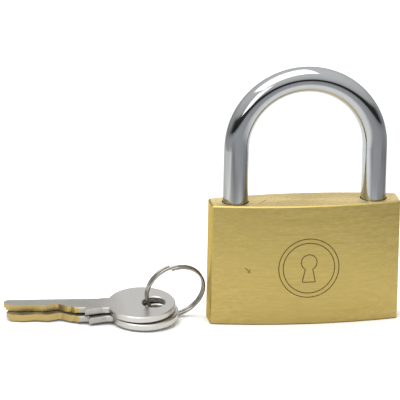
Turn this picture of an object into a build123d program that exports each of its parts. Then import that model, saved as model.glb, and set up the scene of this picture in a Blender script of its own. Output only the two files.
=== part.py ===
"""Solid brass padlock with a round-bar shackle, and its two keys on a split ring.

Frame: +Z up, +X across the width of the lock, +Y from its front face to its back face.
The origin is the centre of the lock's underside. Millimetres throughout.
"""
from build123d import *
from math import cos, pi, radians, sin, sqrt
import os

# ---- driving dimensions: lock body ----
body_width = 60.0
body_height = 39.0
side_thickness = 8.4         # at the two narrow sides
face_bulge = 3.1             # how far each broad face swells at its middle
corner_radius = 0.8          # the four upright corners
rim_chamfer = 0.4            # all round the top and the underside

# ---- driving dimensions: shackle ----
bar_radius = 4.0
leg_offset = 22.0            # from the middle of the lock to each leg's axis
shackle_rise = 43.2          # top of the bar above the top of the body
toe_depth = 11.2             # short leg, inside the body
toe_chamfer = 0.8
heel_chamfer = 0.5
toe_bore_gap = 0.6           # below the short leg
heel_end = 8.2               # height of the long leg's lower end
leg_bore_radius = 4.25
shackle_lift = 12.2          # travel of the opened shackle
neck_radius = 2.1            # waist of the long leg
shoulder_gap = 0.15          # between the waist's shoulders and the retaining pin

# ---- driving dimensions: latch ----
latch_height = 31.8
bolt_radius = 2.45
bolt_channel_radius = 2.5
bolt_stroke = 2.1
bolt_setback = 0.05          # drawn-in nose behind the wall of the leg's bore
notch_radius = 2.6
channel_plug_gap = 0.3       # from the toe leg's bore to the plug that closes the channel

# ---- driving dimensions: plug and cam ----
plug_radius = 5.5
plug_bore_radius = 5.56
plug_top = 29.0
cam_low_radius = 2.6
cam_clearance = 0.3          # between the cam and each bolt
cam_top = 34.0
pocket_top = 34.4
drive_width = 3.0
drive_length = 6.4
drive_depth = 1.5
drive_side_play = 0.05       # on each side of the drive, and under it
plug_chamfer = 0.3

# ---- driving dimensions: pin stacks ----
pin_radius = 1.4
chamber_radius = 1.45
first_pin_height = 5.0
pin_pitch = 3.9
bitting = (6.0, 3.9, 4.9, 4.3, 4.6)   # key height left standing under each pin, from the bow
driver_length = 5.0
chamber_end = 24.0           # where the springs end and the chamber plugs begin
key_pin_crown = 5.25         # outer end of a lifted key pin, just inside the plug's surface
key_pin_point = 0.9          # length of the cone that rides on the cuts
crown_chamfer = 0.2
driver_nose = 5.62           # inner end of a driver pin, just outside the plug's bore
driver_chamfer = 0.25
chamber_floor = -1.4         # inner end of the chambers in the plug

# ---- driving dimensions: springs, closing plugs and retaining pins ----
spring_gap = 0.05            # at each end of a spring
pin_coil_radius = 1.1
pin_spring_wire = 0.2
pin_spring_turns = 9
shackle_coil_radius = 3.2
shackle_spring_wire = 0.5
shackle_spring_turns = 3.5
heel_bore_floor = 2.6
heel_pin_radius = 1.25
heel_pin_height = 24.0
plug_pin_radius = 0.8
plug_pin_height = 27.2
plug_groove_radius = 4.3
plug_groove_play = 0.15      # above and below the plug's retaining pin
plug_pin_gap = 0.1           # between that pin and the bottom of the groove
retaining_bore_reach = 3.0   # beyond the middle plane, towards the front
retaining_pin_reach = 2.9
retaining_pin_recess = 0.12  # below the back face
press_clearance = 0.02
edge_break = 0.15

# ---- driving dimensions: keys ----
key_thickness = 2.1
key_rounding = 0.3           # broken edges all round the blank
blade_width = 7.2
blade_length = 25.6
blade_back = -4.0            # back of the blade, from the axis of the plug
shoulder_reach = 2.0         # stop that stands out beyond the cut edge of the blade
first_cut = 3.2              # from the shoulder to where the cuts begin
cut_half_flat = 0.55         # half the flat at the foot of each cut
tip_ramp = 1.5               # length of the slope at the tip
tip_height = 2.5             # height of the tip below that slope
tip_corner = 1.0             # cut off the back corner of the tip
neck_start = 30.0            # from the tip, where the back widens into the neck
neck_slope = 1.0
neck_overlap = 3.0           # of the neck into the bow
neck_width = 8.0
bow_centre = 43.3            # from the tip
bow_length = 21.6
bow_breadth = 24.2
key_hole_centre = 47.2
key_hole_length = 8.4
key_hole_width = 7.1
key_gap = 0.2                # between the two stacked keys
keyway_clearance = 0.15
ward_depth = 0.6
ward_width = 1.5
ward_offset = -1.6           # middle of the ward, from the axis of the plug

# ---- driving dimensions: how the keys and ring lie beside the lock ----
slope_along = 0.036          # rise of the stacked keys towards the ring, per mm of +X
slope_across = 0.087         # rise of the stacked keys towards the back, per mm of +Y
lower_rest = 0.35            # height of the lower key's tip, its front corner meeting the floor
lower_tip = (-93.2, 5.0)
lower_yaw = -4.5
upper_tip = (-93.8, 7.8)
upper_yaw = -7.0
ring_radius = 9.35           # to the middle of the wire
wire_radius = 0.48
ring_side_gap = 0.35         # between the ring and the lock's side
turn_pitch = 1.02
ring_split_angle = 193.0
ring_turn = 11.6             # the ring's plane about the vertical, degrees
ring_lean = 17.6             # its top towards the front, degrees
ring_y = 1.4

# ---- derived dimensions ----
half_width = body_width / 2
half_side = side_thickness / 2
leg_bore_floor = body_height - toe_depth - toe_bore_gap
toe_end = body_height - toe_depth
arch_height = body_height + shackle_rise - bar_radius - leg_offset
bore_wall = leg_offset - leg_bore_radius
bolt_nose = bore_wall - bolt_setback
bolt_tail = cam_low_radius + cam_clearance
heel_pin_x = -(leg_offset + neck_radius + shoulder_gap + heel_pin_radius)
neck_top = heel_pin_height + heel_pin_radius + shoulder_gap
neck_bottom = heel_pin_height - heel_pin_radius - shoulder_gap - shackle_lift
plug_pin_x = -(plug_groove_radius + plug_pin_gap + plug_pin_radius)
keyway_top = blade_length + 0.3
pin_heights = [first_pin_height + i * pin_pitch for i in range(len(bitting))]
driver_tail = driver_nose + driver_length

os.makedirs("parts", exist_ok=True)


def face_y(x):
    """Distance from the middle plane to a broad face, at a distance x from the centre."""
    face_radius = (half_width**2 + face_bulge**2) / (2 * face_bulge)
    return half_side + face_bulge - face_radius + sqrt(face_radius**2 - x**2)


def save(piece, name):
    piece.part.label = name
    export_step(piece.part, f"parts/{name}.step")


# ---- lock body: one block of brass, bored from the top, the underside and one side ----
with BuildPart() as lock_body:
    with BuildSketch() as body_outline:
        with BuildLine():
            front = ThreePointArc(
                (-half_width, -half_side), (0, -half_side - face_bulge), (half_width, -half_side)
            )
            back = ThreePointArc(
                (half_width, half_side), (0, half_side + face_bulge), (-half_width, half_side)
            )
            Line(front @ 1, back @ 0)
            Line(back @ 1, front @ 0)
        make_face()
        fillet(body_outline.vertices(), corner_radius)
    extrude(amount=body_height)
    rims = lock_body.edges().group_by(Axis.Z)
    chamfer(rims[0] + rims[-1], rim_chamfer)
    # shackle bores, from the top
    with BuildSketch(Plane.XY.offset(body_height)):
        with Locations((leg_offset, 0)):
            Circle(leg_bore_radius)
    extrude(amount=leg_bore_floor - body_height, mode=Mode.SUBTRACT)
    with BuildSketch(Plane.XY.offset(body_height)):
        with Locations((-leg_offset, 0)):
            Circle(leg_bore_radius)
    extrude(amount=heel_bore_floor - body_height, mode=Mode.SUBTRACT)
    # plug bore and cam pocket, from the underside
    with BuildSketch():
        Circle(plug_bore_radius)
    extrude(amount=pocket_top, mode=Mode.SUBTRACT)
    # latch channel, drilled from the toe side through to the heel bore
    with BuildSketch(Plane.YZ.offset(-leg_offset)):
        with Locations((0, latch_height)):
            Circle(bolt_channel_radius)
    extrude(amount=leg_offset + half_width, mode=Mode.SUBTRACT)
    # pin chambers, drilled from the toe side into the plug bore
    with BuildSketch(Plane.YZ):
        with Locations(*[(0, z) for z in pin_heights]):
            Circle(chamber_radius)
    extrude(amount=half_width, mode=Mode.SUBTRACT)
    # cross holes for the two retaining pins, drilled from the back
    with BuildSketch(Plane.XZ.offset(-half_side - face_bulge)):
        with Locations((heel_pin_x, heel_pin_height)):
            Circle(heel_pin_radius)
        with Locations((plug_pin_x, plug_pin_height)):
            Circle(plug_pin_radius)
    extrude(amount=half_side + face_bulge + retaining_bore_reach, mode=Mode.SUBTRACT)
save(lock_body, "lock_body")

# ---- shackle: a round bar bent into a U, long heel leg at -X, short toe leg at +X ----
with BuildPart() as shackle:
    with BuildLine():
        heel = Line((-leg_offset, 0, heel_end), (-leg_offset, 0, arch_height))
        arch = ThreePointArc(
            heel @ 1, (0, 0, arch_height + leg_offset), (leg_offset, 0, arch_height)
        )
        Line(arch @ 1, (leg_offset, 0, toe_end))
    with BuildSketch(Plane(heel @ 0, z_dir=(0, 0, 1))):
        Circle(bar_radius)
    sweep()
    chamfer(shackle.edges().filter_by(GeomType.CIRCLE).sort_by(Axis.Z)[0], heel_chamfer)
    toe_rim = shackle.edges().filter_by(GeomType.CIRCLE).filter_by_position(
        Axis.X, leg_offset - bar_radius, leg_offset + bar_radius
    )
    chamfer(toe_rim.sort_by(Axis.Z)[0], toe_chamfer)
    # waist of the heel leg, where the retaining pin runs
    with BuildSketch(Plane.XY.offset(neck_bottom)):
        with Locations((-leg_offset, 0)):
            Circle(bar_radius + 1)
            Circle(neck_radius, mode=Mode.SUBTRACT)
    extrude(amount=neck_top - neck_bottom, mode=Mode.SUBTRACT)
    # one notch for a locking bolt on the inner side of each leg
    notch_x = bolt_nose + bolt_stroke - bolt_radius
    with BuildSketch(Plane.XZ.offset(-bar_radius - 1)):
        with Locations((notch_x, latch_height), (-notch_x, latch_height)):
            Circle(notch_radius)
    extrude(amount=2 * bar_radius + 2, mode=Mode.SUBTRACT)
save(shackle, "shackle")

# ---- plug: the cylinder the key turns, its pins pointing to +Y at rest ----
with BuildPart() as plug:
    with BuildSketch():
        Circle(plug_radius)
    extrude(amount=plug_top)
    chamfer(plug.edges().group_by(Axis.Z)[0], plug_chamfer)
    # groove for the retaining pin
    with BuildSketch(Plane.XY.offset(plug_pin_height - plug_pin_radius - plug_groove_play)):
        Circle(plug_radius + 1)
        Circle(plug_groove_radius, mode=Mode.SUBTRACT)
    extrude(amount=2 * (plug_pin_radius + plug_groove_play), mode=Mode.SUBTRACT)
    # keyway, with one ward standing into it
    with BuildSketch():
        with Locations((0, blade_back + blade_width / 2)):
            Rectangle(key_thickness + 2 * keyway_clearance, blade_width + 2 * keyway_clearance)
        with Locations((key_thickness / 2 + keyway_clearance - ward_depth / 2 + 0.1, ward_offset)):
            Rectangle(ward_depth - 0.2, ward_width - 0.3, mode=Mode.SUBTRACT)
    extrude(amount=keyway_top, mode=Mode.SUBTRACT)
    # pin chambers
    with BuildSketch(Plane.XZ.offset(-plug_radius)):
        with Locations(*[(0, z) for z in pin_heights]):
            Circle(chamber_radius)
    extrude(amount=plug_radius - chamber_floor, mode=Mode.SUBTRACT)
    # slot that drives the cam
    with BuildSketch(Plane.XY.offset(plug_top)):
        Rectangle(drive_width, drive_length)
    extrude(amount=-drive_depth, mode=Mode.SUBTRACT)
save(plug, "plug")


# ---- cam: two equal spiral lobes that push the bolts out as the plug turns to locked ----
def cam_radius(angle):
    """Outline of one lobe, repeated every half turn; angle in degrees."""
    turn = angle % 180
    if turn <= 90:
        return cam_low_radius + bolt_stroke * turn / 90
    if turn <= 105:
        return cam_low_radius + bolt_stroke
    if turn <= 155:
        return cam_low_radius + bolt_stroke * (1 + cos(pi * (turn - 105) / 50)) / 2
    return cam_low_radius


with BuildPart() as cam:
    with BuildSketch(Plane.XY.offset(plug_top)):
        with BuildLine():
            Spline(
                *[
                    (cam_radius(a) * cos(radians(a)), cam_radius(a) * sin(radians(a)))
                    for a in range(0, 360, 6)
                ],
                periodic=True,
            )
        make_face()
    extrude(amount=cam_top - plug_top)
    with BuildSketch(Plane.XY.offset(plug_top)):
        Rectangle(drive_width - 2 * drive_side_play, drive_length - 2 * drive_side_play)
    extrude(amount=-drive_depth + drive_side_play)
save(cam, "cam")

# ---- locking bolts: round bars with domed ends, one for each leg ----
for side, bolt_name in ((1, "locking_bolt_toe"), (-1, "locking_bolt_heel")):
    with BuildPart() as bolt:
        with BuildSketch(Plane.XZ):
            with BuildLine():
                dome_in = side * (bolt_tail + bolt_radius)
                dome_out = side * (bolt_nose - bolt_radius)
                inner = CenterArc((dome_in, latch_height), bolt_radius, 90, side * 90)
                outer = CenterArc((dome_out, latch_height), bolt_radius, 90, -side * 90)
                Line(inner @ 0, outer @ 0)
                Line(inner @ 1, outer @ 1)
            make_face()
        revolve(axis=Axis((0, 0, latch_height), (1, 0, 0)))
    save(bolt, bolt_name)

# ---- key pins, lifted to the shear line by the bitting, and their chambers' other pieces ----
for number, (height, bite) in enumerate(zip(pin_heights, bitting), start=1):
    tip = blade_back + bite
    with BuildPart() as key_pin:
        with BuildSketch(Plane.YZ):
            with BuildLine():
                Polyline(
                    (tip, height),
                    (tip + key_pin_point, height + pin_radius),
                    (key_pin_crown - crown_chamfer, height + pin_radius),
                    (key_pin_crown, height + pin_radius - crown_chamfer),
                    (key_pin_crown, height),
                    close=True,
                )
            make_face()
        revolve(axis=Axis((0, 0, height), (0, 1, 0)))
    save(key_pin, f"key_pin_{number}")

    with BuildPart() as driver_pin:
        with BuildSketch(Plane.XZ):
            with BuildLine():
                Polyline(
                    (driver_nose, height),
                    (driver_nose, height + pin_radius - driver_chamfer),
                    (driver_nose + driver_chamfer, height + pin_radius),
                    (driver_tail - driver_chamfer, height + pin_radius),
                    (driver_tail, height + pin_radius - driver_chamfer),
                    (driver_tail, height),
                    close=True,
                )
            make_face()
        revolve(axis=Axis((0, 0, height), (1, 0, 0)))
    save(driver_pin, f"driver_pin_{number}")


# ---- springs: round wire wound in a helix ----
def wind_spring(foot, direction, turns, length, coil_radius, wire):
    """A coil of round wire that starts at its foot and runs along a direction."""
    with BuildPart() as coil:
        with BuildLine():
            helix = Helix(
                pitch=(length - 2 * wire) / turns,
                height=length - 2 * wire,
                radius=coil_radius,
                center=Vector(foot) + Vector(direction) * wire,
                direction=direction,
            )
        with BuildSketch(Plane(helix @ 0, z_dir=helix % 0)):
            Circle(wire)
        sweep(is_frenet=True)
    return coil


for number, height in enumerate(pin_heights, start=1):
    pin_spring = wind_spring(
        foot=(driver_tail + spring_gap, 0, height),
        direction=(1, 0, 0),
        turns=pin_spring_turns,
        length=chamber_end - driver_tail - 2 * spring_gap,
        coil_radius=pin_coil_radius,
        wire=pin_spring_wire,
    )
    save(pin_spring, f"pin_spring_{number}")

shackle_spring = wind_spring(
    foot=(-leg_offset, 0, heel_bore_floor + spring_gap),
    direction=(0, 0, 1),
    turns=shackle_spring_turns,
    length=heel_end - heel_bore_floor - 2 * spring_gap,
    coil_radius=shackle_coil_radius,
    wire=shackle_spring_wire,
)
save(shackle_spring, "shackle_spring")

# ---- plugs that close the drilled pin chambers and the latch channel, flush with the side ----
with BuildPart() as chamber_plugs:
    with BuildSketch(Plane.YZ.offset(chamber_end)):
        with Locations(*[(0, z) for z in pin_heights]):
            Circle(chamber_radius - press_clearance)
    extrude(amount=half_width - chamber_end)
    chamfer(chamber_plugs.edges().group_by(Axis.X)[-1], edge_break)
save(chamber_plugs, "chamber_plugs")

with BuildPart() as latch_channel_plug:
    with BuildSketch(Plane.YZ.offset(leg_offset + leg_bore_radius + channel_plug_gap)):
        with Locations((0, latch_height)):
            Circle(bolt_channel_radius - press_clearance)
    extrude(amount=half_width - leg_offset - leg_bore_radius - channel_plug_gap)
    chamfer(latch_channel_plug.edges().group_by(Axis.X)[-1], edge_break)
save(latch_channel_plug, "latch_channel_plug")

# ---- retaining pins, pressed in from the back ----
for pin_name, pin_x, pin_z, radius in (
    ("heel_retaining_pin", heel_pin_x, heel_pin_height, heel_pin_radius),
    ("plug_retaining_pin", plug_pin_x, plug_pin_height, plug_pin_radius),
):
    with BuildPart() as retaining_pin:
        with BuildSketch(Plane.XZ.offset(retaining_pin_reach)):
            with Locations((pin_x, pin_z)):
                Circle(radius - press_clearance)
        extrude(amount=retaining_pin_recess - retaining_pin_reach - face_y(pin_x))
        chamfer(retaining_pin.edges().group_by(Axis.Y)[-1], edge_break)
    save(retaining_pin, pin_name)


# ---- keys: flat nickel-plated blanks, cut along one edge of the blade ----
def bitting_line():
    """Cut edge of the blade from the shoulder to the tip, as (distance from tip, height)."""
    points = [(blade_length - first_cut, blade_width)]
    for height, bite in zip(pin_heights, bitting):
        station = blade_length - height
        points.append((station + cut_half_flat, bite))
        points.append((station - cut_half_flat, bite))
    points.append((tip_ramp, tip_height + tip_ramp))
    points.append((-1, tip_height - 1))
    return points


def make_key(place):
    """One key, the middle of its tip at the place's origin, its bow along x, cut edge to -y."""
    back = blade_width / 2
    neck = neck_width / 2
    neck_end = bow_centre - bow_length / 2 + neck_overlap
    with BuildPart() as key:
        with BuildSketch(place):
            with BuildLine():
                Polyline(
                    (0, back - tip_corner),
                    (tip_corner, back),
                    (neck_start, back),
                    (neck_start + neck_slope, neck),
                    (neck_end, neck),
                    (neck_end, -neck),
                    (neck_start + neck_slope, -neck),
                    (blade_length, -back - shoulder_reach),
                    (blade_length, -back),
                    (0, -back),
                    close=True,
                )
            make_face()
            with Locations((bow_centre, 0)):
                Ellipse(bow_length / 2, bow_breadth / 2)
            with Locations((key_hole_centre, 0)):
                SlotOverall(key_hole_length, key_hole_width, rotation=90, mode=Mode.SUBTRACT)
        extrude(amount=key_thickness)
        flats = key.faces().sort_by(Axis(place.origin, place.z_dir))
        chamfer(flats[0].edges() + flats[-1].edges(), key_rounding)
        with BuildSketch(place):
            with BuildLine():
                Polyline(
                    *[(x, back - height) for x, height in bitting_line()],
                    (-1, -blade_width),
                    (blade_length - first_cut, -blade_width),
                    close=True,
                )
            make_face()
        extrude(amount=key_thickness, mode=Mode.SUBTRACT)
        # ward groove along the underside of the blade
        with BuildSketch(place):
            with Locations((blade_length / 2 - 1, back - (ward_offset - blade_back))):
                Rectangle(blade_length + 2, ward_width)
        extrude(amount=ward_depth, mode=Mode.SUBTRACT)
    return key


slope_normal = Vector(-slope_along, -slope_across, 1).normalized()


def key_place(tip, yaw, lift):
    """Plane of a key's underside, parallel to the slope that the stacked keys lie on."""
    rise_x = tip[0] - lower_tip[0]
    rise_y = tip[1] - lower_tip[1]
    foot = Vector(tip[0], tip[1], rise_x * slope_along + rise_y * slope_across + lower_rest)
    heading = Vector(cos(radians(yaw)), sin(radians(yaw)), 0)
    along = heading - slope_normal * heading.dot(slope_normal)
    return Plane(foot + slope_normal * lift, x_dir=along, z_dir=slope_normal)


lower_key = make_key(key_place(lower_tip, lower_yaw, 0))
save(lower_key, "key_lower")
upper_key = make_key(key_place(upper_tip, upper_yaw, key_thickness + key_gap))
save(upper_key, "key_upper")

# ---- split ring: two close turns of wire standing on edge through both bows ----
turn = radians(ring_turn)
lean = radians(ring_lean)
ring_axis = Vector(sin(turn) * cos(lean), -cos(turn) * cos(lean), -sin(lean))
ring_outer = ring_radius + wire_radius
ring_reach = ring_outer * sqrt(1 - ring_axis.X**2) + 2 * turn_pitch * abs(ring_axis.X)
ring_height = ring_outer * cos(lean) + turn_pitch * sin(lean)
ring_centre = Vector(-half_width - ring_side_gap - ring_reach, ring_y, ring_height)
with BuildPart() as split_ring:
    with BuildLine():
        turns = Helix(
            pitch=turn_pitch,
            height=2 * turn_pitch,
            radius=ring_radius,
            center=ring_centre - ring_axis * turn_pitch,
            direction=ring_axis,
            mode=Mode.PRIVATE,
        ).rotate(Axis(ring_centre, ring_axis), ring_split_angle)
        add(turns)
    with BuildSketch(Plane(turns @ 0, z_dir=turns % 0)):
        Circle(wire_radius)
    sweep(is_frenet=True)
save(split_ring, "split_ring")
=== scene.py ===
"""Looks of the padlock: materials, copied pin springs, engraving, floor, light and camera."""
import bmesh
import bpy
from math import cos, radians, sin, sqrt
from mathutils import Matrix, Vector


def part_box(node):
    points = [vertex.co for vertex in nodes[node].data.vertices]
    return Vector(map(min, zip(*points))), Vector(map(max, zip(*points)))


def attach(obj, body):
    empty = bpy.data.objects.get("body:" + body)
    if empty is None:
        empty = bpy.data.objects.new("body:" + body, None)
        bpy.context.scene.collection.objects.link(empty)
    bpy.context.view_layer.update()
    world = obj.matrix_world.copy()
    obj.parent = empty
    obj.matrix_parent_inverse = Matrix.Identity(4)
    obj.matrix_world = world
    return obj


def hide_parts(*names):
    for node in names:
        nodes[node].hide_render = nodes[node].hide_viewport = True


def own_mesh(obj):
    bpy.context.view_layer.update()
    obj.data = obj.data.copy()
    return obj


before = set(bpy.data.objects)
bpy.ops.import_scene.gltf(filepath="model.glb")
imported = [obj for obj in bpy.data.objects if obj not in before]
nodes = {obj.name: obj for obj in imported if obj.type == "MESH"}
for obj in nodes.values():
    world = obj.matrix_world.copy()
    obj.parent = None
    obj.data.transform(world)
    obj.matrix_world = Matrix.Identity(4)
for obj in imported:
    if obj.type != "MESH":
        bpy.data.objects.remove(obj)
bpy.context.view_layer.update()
MM = 0.001

# ---- places on the lock, in metres ----
body_low, body_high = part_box("lock_body")
front_rim_y = -4.2 * MM         # where the swelling front face meets the narrow sides
blade_end_x = -70.5 * MM        # the cut edge of the keys lies beyond it, towards the tips
legs_top_z = 62 * MM            # above the straight part of the shackle's legs

# ---- colours, linear ----
BRASS = (0.445, 0.345, 0.115)
BRASS_DARK = (0.375, 0.288, 0.09)
BRASS_LIGHT = (0.53, 0.415, 0.155)
BRASS_GRAZING = (0.85, 0.71, 0.36)
# painted highlight: the paler colours of the body's top and underside
PAINTED_SHEEN_BRASS_DARK = (0.59, 0.485, 0.265)
PAINTED_SHEEN_BRASS_LIGHT = (0.76, 0.65, 0.40)
SCRATCHED_BRASS = (0.16, 0.10, 0.035)
ENGRAVED_DARK = (0.075, 0.048, 0.018)
ENGRAVED_LIGHT = (0.17, 0.12, 0.045)
PLUG_BRASS = (0.60, 0.43, 0.17)
PLUG_BRASS_DARK = (0.50, 0.35, 0.12)
PLUG_BRASS_LIGHT = (0.68, 0.50, 0.22)
SHACKLE_STEEL = (0.41, 0.42, 0.425)
# painted reflection: the dark streaks on the shackle's legs, standing in for reflections of things
# around the lock
LEG_PAINTED_REFLECTION = (0.13, 0.125, 0.11)
RING_STEEL = (0.30, 0.285, 0.26)
INNER_STEEL = (0.42, 0.42, 0.43)
SPRING_STEEL = (0.45, 0.45, 0.47)
NICKEL = (0.36, 0.35, 0.325)
NICKEL_DULL = (0.28, 0.27, 0.245)
NICKEL_GROUND = (0.44, 0.43, 0.41)
NICKEL_BOW_LIGHTER = (0.56, 0.55, 0.525)
KEY_BRASS = (0.40, 0.30, 0.115)
PAPER_DARK = (0.93, 0.93, 0.925)
PAPER_LIGHT = (0.95, 0.95, 0.945)
FAR_FLOOR = (0.40, 0.41, 0.42)


# ---- material helpers: every texture is read in the part's own coordinates ----
class Shader:
    """A principled material, with short calls for the nodes that feed it."""

    def __init__(self, name, metallic=1.0):
        self.mat = bpy.data.materials.new(name)
        self.mat.use_nodes = True
        self.tree = self.mat.node_tree
        self.bsdf = self.tree.nodes["Principled BSDF"]
        self.bsdf.inputs["Metallic"].default_value = metallic
        self.coord = self.node("ShaderNodeTexCoord").outputs["Object"]

    def node(self, kind, **values):
        made = self.tree.nodes.new(kind)
        for key, value in values.items():
            setattr(made, key, value)
        return made

    def link(self, source, target):
        self.tree.links.new(source, target)

    def noise(self, scale, detail=3.0, rough=0.5, offset=(0, 0, 0)):
        """Noise with its own scale along x, y and z, per metre."""
        mapping = self.node("ShaderNodeMapping")
        mapping.inputs["Scale"].default_value = scale
        mapping.inputs["Location"].default_value = offset
        self.link(self.coord, mapping.inputs["Vector"])
        tex = self.node("ShaderNodeTexNoise")
        tex.inputs["Scale"].default_value = 1.0
        tex.inputs["Detail"].default_value = detail
        tex.inputs["Roughness"].default_value = rough
        self.link(mapping.outputs["Vector"], tex.inputs["Vector"])
        return tex.outputs["Fac"]

    def span(self, value, from_min, from_max, to_min, to_max):
        """A value moved from one range to another, and held there."""
        made = self.node("ShaderNodeMapRange")
        made.inputs["From Min"].default_value = from_min
        made.inputs["From Max"].default_value = from_max
        made.inputs["To Min"].default_value = to_min
        made.inputs["To Max"].default_value = to_max
        self.link(value, made.inputs["Value"])
        return made.outputs["Result"]

    def math(self, operation, *values):
        """Arithmetic on sockets and numbers."""
        made = self.node("ShaderNodeMath", operation=operation)
        for socket, value in zip(made.inputs, values):
            if isinstance(value, (int, float)):
                socket.default_value = value
            else:
                self.link(value, socket)
        return made.outputs[0]

    def mix(self, factor, first, second):
        """Colour mix; each colour is a socket or three numbers."""
        made = self.node("ShaderNodeMix", data_type="RGBA")
        self.link(factor, made.inputs[0])
        for socket, colour in ((made.inputs[6], first), (made.inputs[7], second)):
            if isinstance(colour, tuple):
                socket.default_value = (*colour, 1)
            else:
                self.link(colour, socket)
        return made.outputs[2]

    def bump(self, height, depth, under=None):
        """Bump of that depth in metres."""
        made = self.node("ShaderNodeBump")
        made.inputs["Strength"].default_value = 1.0
        made.inputs["Distance"].default_value = depth
        self.link(height, made.inputs["Height"])
        if under is not None:
            self.link(under, made.inputs["Normal"])
        return made.outputs["Normal"]

    def set(self, **sockets):
        """Feeds the shader's sockets and gives the finished material."""
        for key, source in sockets.items():
            self.link(source, self.bsdf.inputs[key.replace("_", " ")])
        return self.mat

    def position(self, axis):
        split = self.node("ShaderNodeSeparateXYZ")
        self.link(self.coord, split.inputs[0])
        return split.outputs["XYZ".index(axis)]

    def normal(self, axis):
        """The surface's own normal along an axis of the part, -1 to 1."""
        split = self.node("ShaderNodeSeparateXYZ")
        self.link(self.node("ShaderNodeTexCoord").outputs["Normal"], split.inputs[0])
        return split.outputs["XYZ".index(axis)]

    def scratch(self, start, end, width, plane="XZ"):
        """1 on a fine straight scratch between two points of a plane, 0 beside it; millimetres."""
        ax, ay, bx, by = (value * MM for value in (*start, *end))
        width = width * MM
        length = sqrt((bx - ax) ** 2 + (by - ay) ** 2)
        dx, dy = (bx - ax) / length, (by - ay) / length
        u = self.math("SUBTRACT", self.position(plane[0]), ax)
        v = self.math("SUBTRACT", self.position(plane[1]), ay)
        along = self.math("ADD", self.math("MULTIPLY", u, dx), self.math("MULTIPLY", v, dy))
        across = self.math("SUBTRACT", self.math("MULTIPLY", v, dx), self.math("MULTIPLY", u, dy))
        beside = self.span(self.math("ABSOLUTE", across), width / 2, width, 1, 0)
        after_start = self.span(along, 0, width, 0, 1)
        before_end = self.span(along, length - width, length, 1, 0)
        return self.math("MULTIPLY", beside, self.math("MULTIPLY", after_start, before_end))


# ---- materials ----
def brushed_brass(name, tint, tint_dark, tint_light):
    """Satin brass brushed along x and mottled: its shader, colour, roughness and normal."""
    brush_depth = 0.016 * MM
    s = Shader(name)
    fine = s.noise((260, 2400, 2400), detail=3, rough=0.6)
    coarse = s.noise((55, 900, 900), detail=2, offset=(3, 1, 7))
    mottle = s.noise((520, 900, 900), detail=3, rough=0.7, offset=(6, 4, 2))
    cloud = s.noise((60, 60, 60), detail=3, offset=(1, 5, 2))
    streak = s.math("ADD", s.math("MULTIPLY", fine, 0.6), s.math("MULTIPLY", coarse, 0.4))
    colour = s.mix(s.span(streak, 0.34, 0.66, 0, 1), tint_dark, tint_light)
    colour = s.mix(s.span(mottle, 0.36, 0.64, 0.5, 0), colour, tint_dark)
    colour = s.mix(s.span(cloud, 0.40, 0.65, 0, 0.35), colour, tint)
    streak_rough = s.span(streak, 0.3, 0.7, 0.30, 0.44)
    rough = s.math("ADD", streak_rough, s.span(mottle, 0.3, 0.7, -0.03, 0.05))
    s.bsdf.inputs["Anisotropic"].default_value = 0.35
    s.bsdf.inputs["Specular Tint"].default_value = (*BRASS_GRAZING, 1)
    return s, colour, rough, s.bump(streak, brush_depth)


def lock_brass():
    """Brushed broad faces with a nick, and a top and underside left rough from the saw and painted
    paler as a painted highlight, with a hair scratch.
    """
    scratch_depth = 0.06 * MM
    sawn_roughness = 0.12
    s, colour, rough, normal = brushed_brass("lock_brass", BRASS, BRASS_DARK, BRASS_LIGHT)
    front = s.span(s.position("Y"), front_rim_y - 0.2 * MM, front_rim_y, 1, 0)
    top = s.span(s.position("Z"), body_high.z - 0.2 * MM, body_high.z - 0.1 * MM, 0, 1)
    long_stroke = s.scratch((-19.4, 19.0), (-17.7, 17.2), 0.22)
    short_stroke = s.scratch((-18.6, 17.1), (-17.8, 18.6), 0.18)
    nick = s.math("MULTIPLY", s.math("MAXIMUM", long_stroke, short_stroke), front)
    hair = s.math("MULTIPLY", s.scratch((-15.5, -4.0), (-12.2, 0.5), 0.16, "XY"), top)
    marks = s.math("MAXIMUM", nick, hair)
    colour = s.mix(s.math("MULTIPLY", marks, 0.75), colour, SCRATCHED_BRASS)
    # painted highlight: faces that point up or down are painted paler, standing in for the light the
    # top catches; their added roughness is the saw-cut finish
    saw_finish_and_sheen = s.span(s.math("ABSOLUTE", s.normal("Z")), 0.90, 0.98, 0, 1)
    grit = s.noise((1500, 1500, 1500), detail=3, rough=0.7, offset=(2, 9, 4))
    painted_sheen = s.mix(s.span(grit, 0.35, 0.65, 0, 1), PAINTED_SHEEN_BRASS_DARK, PAINTED_SHEEN_BRASS_LIGHT)
    unscratched = s.math("SUBTRACT", 1.0, hair)
    colour = s.mix(s.math("MULTIPLY", saw_finish_and_sheen, unscratched), colour, painted_sheen)
    rough = s.math("ADD", rough, s.math("MULTIPLY", saw_finish_and_sheen, sawn_roughness))
    return s.set(Base_Color=colour, Roughness=rough, Normal=s.bump(marks, -scratch_depth, normal))


def plug_brass():
    s, colour, rough, normal = brushed_brass(
        "plug_brass", PLUG_BRASS, PLUG_BRASS_DARK, PLUG_BRASS_LIGHT
    )
    return s.set(Base_Color=colour, Roughness=rough, Normal=normal)


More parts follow.
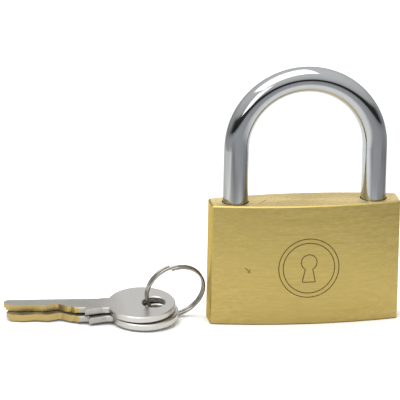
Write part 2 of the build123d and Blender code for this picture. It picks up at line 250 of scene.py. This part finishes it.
def bright_steel(name, base, smooth, grain, along="Z", leg_top=None):
    """Polished or drawn steel: faint lines along the bar, small stains, and dark streaks on the legs
    that are painted reflections.
    """
    line_depth = 0.006 * MM
    stained = tuple(0.82 * part for part in base)
    drawn_dark = tuple(0.9 * part for part in base)
    s = Shader(name)
    drawn = s.noise({"Z": (1800, 1800, 60), "X": (60, 1800, 1800)}[along], detail=3)
    stain = s.noise((110, 110, 110), detail=4, rough=0.6, offset=(4, 2, 9))
    colour = s.mix(s.span(stain, 0.42, 0.72, 0, 0.6), base, stained)
    colour = s.mix(s.span(drawn, 0.35, 0.7, 0, 0.25), colour, drawn_dark)
    # painted reflection: dark streaks on the legs, strongest low down, standing in for reflections
    # of things around the lock
    if leg_top is not None:
        streak = s.noise((430, 430, 9), detail=2, offset=(1.7, 0.4, 0.2))
        below = s.span(s.position("Z"), leg_top - 8 * MM, leg_top, 0.55, 0)
        painted_reflection_mask = s.math("MULTIPLY", s.span(streak, 0.47, 0.58, 0, 1), below)
        colour = s.mix(painted_reflection_mask, colour, LEG_PAINTED_REFLECTION)
    stain_rough = s.span(stain, 0.35, 0.7, smooth, smooth + 0.05)
    rough = s.math("ADD", stain_rough, s.span(drawn, 0.3, 0.7, 0, grain))
    return s.set(Base_Color=colour, Roughness=rough, Normal=s.bump(drawn, line_depth))


def key_nickel():
    """Satin nickel plate, fine grinding lines, a lighter bow, brass on the cut edge of the blade."""
    grind_depth = 0.010 * MM
    s = Shader("key_nickel")
    grind = s.noise((900, 2600, 2600), detail=3)
    wear = s.noise((160, 160, 160), detail=4, rough=0.65, offset=(8, 3, 1))
    colour = s.mix(s.span(wear, 0.35, 0.7, 0, 0.8), NICKEL, NICKEL_DULL)
    colour = s.mix(s.span(grind, 0.35, 0.68, 0, 0.3), colour, NICKEL_GROUND)
    towards_cut = s.span(s.normal("Y"), -0.45, -0.3, 1, 0)
    on_blade = s.span(s.position("X"), blade_end_x - 0.7 * MM, blade_end_x, 1, 0)
    colour = s.mix(s.math("MULTIPLY", towards_cut, on_blade), colour, KEY_BRASS)
    # the bow is made lighter towards its end
    on_bow = s.span(s.position("X"), blade_end_x + 6.5 * MM, blade_end_x + 14.5 * MM, 0, 0.75)
    colour = s.mix(on_bow, colour, NICKEL_BOW_LIGHTER)
    grind_rough = s.span(grind, 0.3, 0.7, 0.24, 0.34)
    rough = s.math("ADD", grind_rough, s.span(wear, 0.3, 0.7, 0, 0.08))
    return s.set(Base_Color=colour, Roughness=rough, Normal=s.bump(grind, grind_depth))


def engraved_brass():
    """The dark, matt bottom of an engraved line."""
    s = Shader("engraved_line")
    grain = s.noise((900, 900, 2400), detail=3, rough=0.6)
    colour = s.mix(s.span(grain, 0.35, 0.65, 0, 1), ENGRAVED_DARK, ENGRAVED_LIGHT)
    return s.set(Base_Color=colour, Roughness=s.span(grain, 0.3, 0.7, 0.5, 0.7))


body_material = lock_brass()
plug_material = plug_brass()
shackle_material = bright_steel("shackle_steel", SHACKLE_STEEL, 0.045, 0.03, leg_top=legs_top_z)
ring_material = bright_steel("ring_steel", RING_STEEL, 0.09, 0.04)
inner_material = bright_steel("inner_steel", INNER_STEEL, 0.26, 0.08, along="X")
spring_material = bright_steel("spring_wire", SPRING_STEEL, 0.22, 0.06)
key_material = key_nickel()


def material_of(node):
    """The material of a piece, by its name; what is left are the bolts, the cam and steel pins."""
    if node in ("lock_body", "chamber_plugs", "latch_channel_plug"):
        return body_material
    if node == "shackle":
        return shackle_material
    if node == "split_ring":
        return ring_material
    if "spring" in node:
        return spring_material
    if node == "plug" or node.startswith(("key_pin", "driver_pin")):
        return plug_material
    if node.startswith("key_"):
        return key_material
    return inner_material


for node_name in nodes:
    slots = nodes[node_name].data.materials
    slots.clear()
    slots.append(material_of(node_name))


# ---- pin springs: copies of the wound wires, set on the lock body in place of the hidden originals ----
def working_spring(number):
    node = f"pin_spring_{number}"
    piece = bpy.data.objects.new(f"{node}_coil", nodes[node].data.copy())
    bpy.context.scene.collection.objects.link(piece)
    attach(piece, "lock_body")
    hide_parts(node)
    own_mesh(piece)


for spring_number in range(1, 6):
    working_spring(spring_number)


# ---- engraving: a keyhole in a double ring, in fine lines on the front face ----
def front_y(x):
    """Place of the swelling front face at a distance x from the middle, in metres."""
    bulge = front_rim_y - body_low.y
    radius = (body_high.x**2 + bulge**2) / (2 * bulge)
    return body_low.y + radius - sqrt(radius**2 - x**2)


def engraved_line(made, points, width):
    """Adds a thin inlaid line round a closed outline of the front face, (x, z) in metres."""
    proud, sunk = 0.012 * MM, 0.06 * MM
    count = len(points)
    rows = []
    for index, (x, z) in enumerate(points):
        before, after = points[index - 1], points[(index + 1) % count]
        dx, dz = after[0] - before[0], after[1] - before[1]
        length = sqrt(dx * dx + dz * dz)
        nx, nz = -dz / length * width / 2, dx / length * width / 2
        corners = []
        for side, depth in ((1, -proud), (-1, -proud), (-1, sunk), (1, sunk)):
            px, pz = x + nx * side, z + nz * side
            corners.append(made.verts.new((px, front_y(px) + depth, pz)))
        rows.append(corners)
    for index, here in enumerate(rows):
        there = rows[(index + 1) % count]
        for corner in range(4):
            other = (corner + 1) % 4
            made.faces.new((here[corner], here[other], there[other], there[corner]))


def arc_points(centre, radius, start, stop, steps):
    """Points of an arc between two angles in degrees, both ends included."""
    turns = [radians(start + (stop - start) * i / steps) for i in range(steps + 1)]
    return [(centre[0] + radius * cos(t), centre[1] + radius * sin(t)) for t in turns]


def engraving():
    centre = (0.7 * MM, 18.6 * MM)
    line_width = 0.30 * MM
    ring_radii = (9.6 * MM, 8.2 * MM)
    head_rise, head_radius = 1.9 * MM, 2.5 * MM
    head_gap = 28.0     # half the angle left open below the head, degrees
    foot_drop, half_foot, foot_steps = 4.6 * MM, 2.1 * MM, 12
    made = bmesh.new()
    for radius in ring_radii:
        engraved_line(made, arc_points(centre, radius, 0.0, 360.0, 96)[:-1], line_width)
    head = (centre[0], centre[1] + head_rise)
    arc = arc_points(head, head_radius, head_gap - 90, 270 - head_gap, 48)
    foot_left = centre[0] - half_foot
    foot_z = centre[1] - foot_drop
    foot = [(foot_left + 2 * half_foot * i / foot_steps, foot_z) for i in range(foot_steps + 1)]
    engraved_line(made, arc + foot, line_width)
    bmesh.ops.recalc_face_normals(made, faces=made.faces)
    mesh = bpy.data.meshes.new("engraved_keyhole")
    made.to_mesh(mesh)
    made.free()
    piece = bpy.data.objects.new("engraved_keyhole", mesh)
    bpy.context.scene.collection.objects.link(piece)
    mesh.materials.append(engraved_brass())
    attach(piece, "lock_body")


engraving()


# ---- floor: white paper round the lock, greyer further out, where only the metal mirrors it ----
def floor():
    half_size = 4.0
    grey_front = (-0.15, -0.08)      # along y, from all grey to all white
    grey_left = (-0.26, -0.16)       # along x, the same
    grey_right = (0.072, 0.125)      # along the slant, from all white to all grey
    slant_x, slant_y = 0.894, 0.447
    mesh = bpy.data.meshes.new("floor")
    made = bmesh.new()
    bmesh.ops.create_grid(made, x_segments=2, y_segments=2, size=half_size)
    made.to_mesh(mesh)
    made.free()
    plane = bpy.data.objects.new("floor", mesh)
    bpy.context.scene.collection.objects.link(plane)
    s = Shader("floor_paper", metallic=0.0)
    s.bsdf.inputs["Roughness"].default_value = 0.9
    s.bsdf.inputs["Specular IOR Level"].default_value = 0.0
    grain = s.noise((900, 900, 900), detail=2)
    paper = s.mix(s.span(grain, 0.3, 0.7, 0, 1), PAPER_DARK, PAPER_LIGHT)
    before = s.span(s.position("Y"), *grey_front, 1, 0)
    slant_first = s.math("MULTIPLY", s.position("X"), slant_x)
    slant_second = s.math("MULTIPLY", s.position("Y"), slant_y)
    right = s.span(s.math("SUBTRACT", slant_first, slant_second), *grey_right, 0, 1)
    left = s.span(s.position("X"), *grey_left, 1, 0)
    outside = s.math("MAXIMUM", before, s.math("MAXIMUM", left, right))
    mesh.materials.append(s.set(Base_Color=s.mix(outside, paper, FAR_FLOOR)))


floor()


# ---- light: a room that is dim low in front of the lock, and pale overhead and behind it ----
def world_light():
    """Brightness of the room by height, 0 at the horizon and 1 overhead, in front and behind."""
    front_levels = ((0.0, 0.03), (0.20, 0.05), (0.30, 0.75), (0.6, 1.0), (1.0, 1.15))
    back_levels = ((0.0, 0.50), (0.20, 0.66), (0.45, 0.95), (0.8, 1.1), (1.0, 1.15))
    all_front_y, all_back_y = -0.25, 0.35
    world = bpy.data.worlds.new("room")
    world.use_nodes = True
    bpy.context.scene.world = world
    tree = world.node_tree
    direction = tree.nodes.new("ShaderNodeTexCoord").outputs["Generated"]
    split = tree.nodes.new("ShaderNodeSeparateXYZ")
    tree.links.new(direction, split.inputs[0])
    blend = tree.nodes.new("ShaderNodeMix")
    blend.data_type = "RGBA"
    for socket, levels in ((blend.inputs[6], front_levels), (blend.inputs[7], back_levels)):
        ramp = tree.nodes.new("ShaderNodeValToRGB")
        elements = ramp.color_ramp.elements
        for index, (height, level) in enumerate(levels):
            stop = elements[index] if index < 2 else elements.new(height)
            stop.position = height
            stop.color = (level, level, level, 1)
        tree.links.new(split.outputs["Z"], ramp.inputs["Fac"])
        tree.links.new(ramp.outputs["Color"], socket)
    back = tree.nodes.new("ShaderNodeMapRange")
    back.inputs["From Min"].default_value = all_front_y
    back.inputs["From Max"].default_value = all_back_y
    tree.links.new(split.outputs["Y"], back.inputs["Value"])
    tree.links.new(back.outputs["Result"], blend.inputs[0])
    tree.links.new(blend.outputs[2], tree.nodes["Background"].inputs["Color"])


world_light()


def softbox(name, place, width, height, power):
    """A rectangular lamp that faces the lock; metres and watts."""
    lit_point = Vector((-0.02, 0.0, 0.04))
    data = bpy.data.lights.new(name, "AREA")
    data.shape = "RECTANGLE"
    data.size = width
    data.size_y = height
    data.energy = power
    lamp = bpy.data.objects.new(name, data)
    lamp.location = place
    lamp.rotation_euler = (lit_point - Vector(place)).to_track_quat("-Z", "Y").to_euler()
    bpy.context.scene.collection.objects.link(lamp)


softbox("overhead_softbox", (-0.20, -0.05, 0.85), width=0.8, height=0.9, power=5.5)
softbox("left_softbox", (-0.55, -0.75, 0.50), width=0.4, height=0.5, power=1.6)


# ---- camera ----
def camera():
    """Looks at the lock and keys from a little left of the front and above, from far off."""
    azimuth, elevation, roll = 0.161488, 0.301305, 0.0193586    # radians
    aim = Vector((-33.2216, 0, 39.7805)) * MM
    distance = 1.5
    focal_length, sensor_width = 431.33, 36                     # millimetres
    nearest, furthest = 0.05, 20
    away = Vector((-sin(azimuth) * cos(elevation), -cos(azimuth) * cos(elevation), sin(elevation)))
    ahead = -away
    right = ahead.cross(Vector((0, 0, 1))).normalized()
    up = right.cross(ahead)
    side = right * cos(roll) + up * sin(roll)
    top = up * cos(roll) - right * sin(roll)
    data = bpy.data.cameras.new("camera")
    data.lens = focal_length
    data.sensor_width = sensor_width
    data.clip_start = nearest
    data.clip_end = furthest
    made = bpy.data.objects.new("camera", data)
    turn = Matrix((side, top, away)).transposed().to_4x4()
    made.matrix_world = Matrix.Translation(aim + away * distance) @ turn
    bpy.context.scene.collection.objects.link(made)
    bpy.context.scene.camera = made


camera()
bpy.context.scene.view_settings.view_transform = "Standard"
